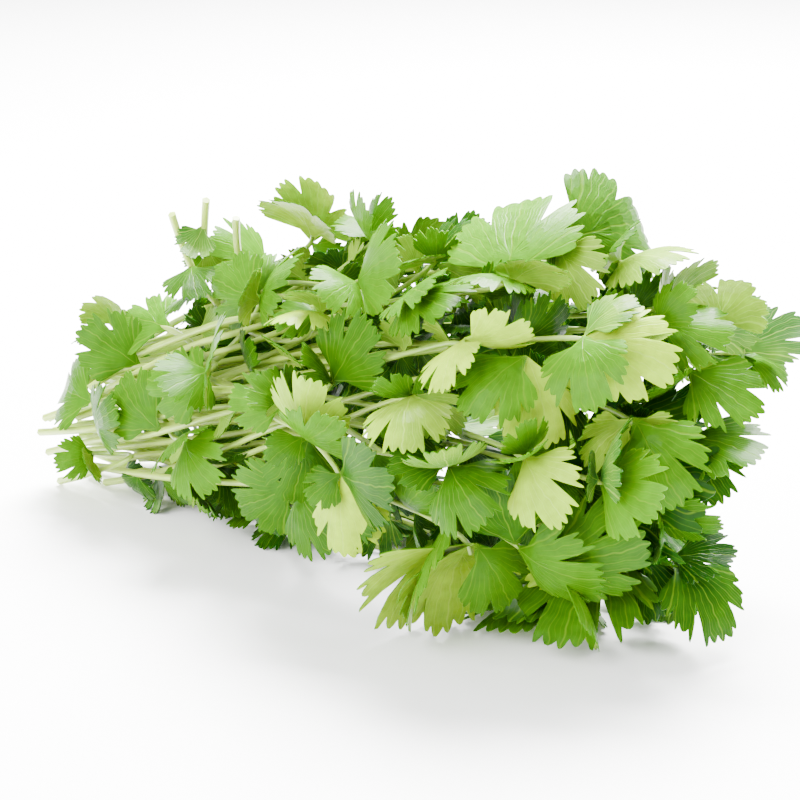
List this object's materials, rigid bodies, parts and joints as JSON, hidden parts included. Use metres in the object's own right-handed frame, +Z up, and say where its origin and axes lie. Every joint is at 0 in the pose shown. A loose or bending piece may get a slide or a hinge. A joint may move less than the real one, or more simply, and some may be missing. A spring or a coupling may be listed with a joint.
{
  "type": "coriander bunch",
  "caption": "Loose bunch of fresh coriander lying on its side: slender pale stalks with lobed, toothed leaflets, cut ends together.",
  "frame": {"origin": "the flat underside of the lowest stalk, on the surface that the bunch lies on, near the middle of its length", "axes": "+X along the bunch from its cut ends to its leafy head, +Z up from the surface it lies on, +Y to the left of +X"},
  "size_m": [0.2986, 0.1611, 0.1377],
  "materials": {
    "herb": "fresh leaf, satin above and matt below"
  },
  "bodies": {
    "root": {"leafy_stem_01": "herb", "leafy_stem_02": "herb", "leafy_stem_03": "herb", "leafy_stem_04": "herb", "leafy_stem_05": "herb", "leafy_stem_06": "herb", "leafy_stem_07": "herb", "leafy_stem_08": "herb", "leafy_stem_09": "herb", "leafy_stem_10": "herb", "leafy_stem_11": "herb", "leafy_stem_12": "herb", "leafy_stem_13": "herb", "leafy_stem_14": "herb", "leafy_stem_15": "herb", "leafy_stem_16": "herb", "leafy_stem_17": "herb", "leafy_stem_18": "herb", "leafy_stem_19": "herb", "leafy_stem_20": "herb", "leafy_stem_21": "herb", "leafy_stem_22": "herb", "leafy_stem_23": "herb", "leafy_stem_24": "herb", "leafy_stem_25": "herb", "leafy_stem_26": "herb", "leafy_stem_27": "herb", "leafy_stem_28": "herb", "leafy_stem_29": "herb", "leafy_stem_30": "herb", "leafy_stem_31": "herb", "leafy_stem_32": "herb", "leafy_stem_33": "herb", "leafy_stem_34": "herb", "leafy_stem_35": "herb", "leafy_stem_36": "herb", "leafy_stem_37": "herb", "leafy_stem_38": "herb", "leafy_stem_39": "herb", "leafy_stem_40": "herb", "leafy_stem_41": "herb", "leafy_stem_42": "herb", "leafy_stem_43": "herb", "leafy_stem_44": "herb", "leafy_stem_45": "herb", "leafy_stem_46": "herb", "leafy_stem_47": "herb", "leafy_stem_48": "herb", "leafy_stem_49": "herb", "leafy_stem_50": "herb", "leafy_stem_51": "herb", "leafy_stem_52": "herb", "leafy_stem_53": "herb", "leafy_stem_54": "herb", "leafy_stem_55": "herb", "leafy_stem_56": "herb", "leafy_stem_57": "herb"}
  },
  "joints": []
}
